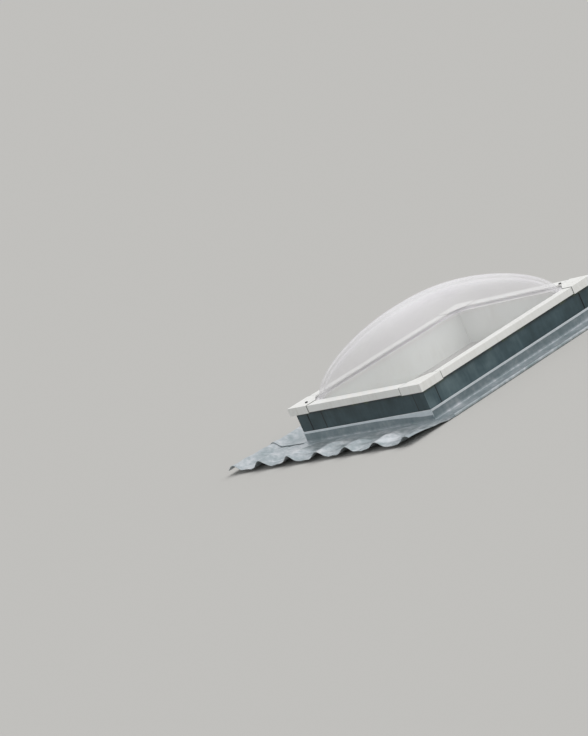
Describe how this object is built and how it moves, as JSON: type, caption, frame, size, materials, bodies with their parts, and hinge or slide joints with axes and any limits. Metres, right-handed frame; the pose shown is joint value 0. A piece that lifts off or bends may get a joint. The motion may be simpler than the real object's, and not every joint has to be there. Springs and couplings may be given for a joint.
{
  "type": "domed rooflight",
  "caption": "Rectangular rooflight: clear dome on a white frame and grey-clad kerb, with a lead flashing shaped to a tiled roof.",
  "frame": {"origin": "centre of the roof opening, in the plane of the kerb's underside", "axes": "+Z out of the roof, +Y up the slope, +X to the right seen from the eaves"},
  "size_m": [1.2679, 1.5939, 0.4008],
  "materials": {
    "dome_sheet": "clear moulded polycarbonate, slightly hazy",
    "frame_white": "white extruded and moulded PVC-u, satin",
    "kerb_liner": "pale PVC-u, satin",
    "cladding_grey": "dark blue-grey coated sheet, weathered",
    "flashing_lead": "dressed sheet lead, dull grey with pale patina",
    "gasket_white": "white silicone tape",
    "seal_black": "black rubber and black moulded caps",
    "screw_steel": "stainless steel"
  },
  "bodies": {
    "root": {"back_gutter": "flashing_lead", "base_rail_back": "frame_white", "base_rail_front": "frame_white", "base_rail_left": "frame_white", "base_rail_right": "frame_white", "black_screw_covers": "seal_black", "capping_back": "frame_white", "capping_front": "frame_white", "capping_left": "frame_white", "capping_right": "frame_white", "cladding_back": "cladding_grey", "cladding_front": "cladding_grey", "cladding_front_infill": "cladding_grey", "cladding_left": "cladding_grey", "cladding_right": "cladding_grey", "corner_cap_back_left": "frame_white", "corner_cap_back_right": "frame_white", "corner_cap_front_left": "frame_white", "corner_cap_front_right": "frame_white", "corner_cover_back_left": "cladding_grey", "corner_cover_back_right": "cladding_grey", "corner_cover_front_left": "cladding_grey", "corner_cover_front_right": "cladding_grey", "dome_inner": "dome_sheet", "dome_outer": "dome_sheet", "frame_screws": "screw_steel", "front_apron": "flashing_lead", "inner_gasket": "gasket_white", "kerb_back": "kerb_liner", "kerb_front": "kerb_liner", "kerb_left": "kerb_liner", "kerb_right": "kerb_liner", "kerb_seal": "seal_black", "screw_covers": "frame_white", "side_flashing_left": "flashing_lead", "side_flashing_right": "flashing_lead", "skin_spacer": "gasket_white"}
  },
  "joints": []
}
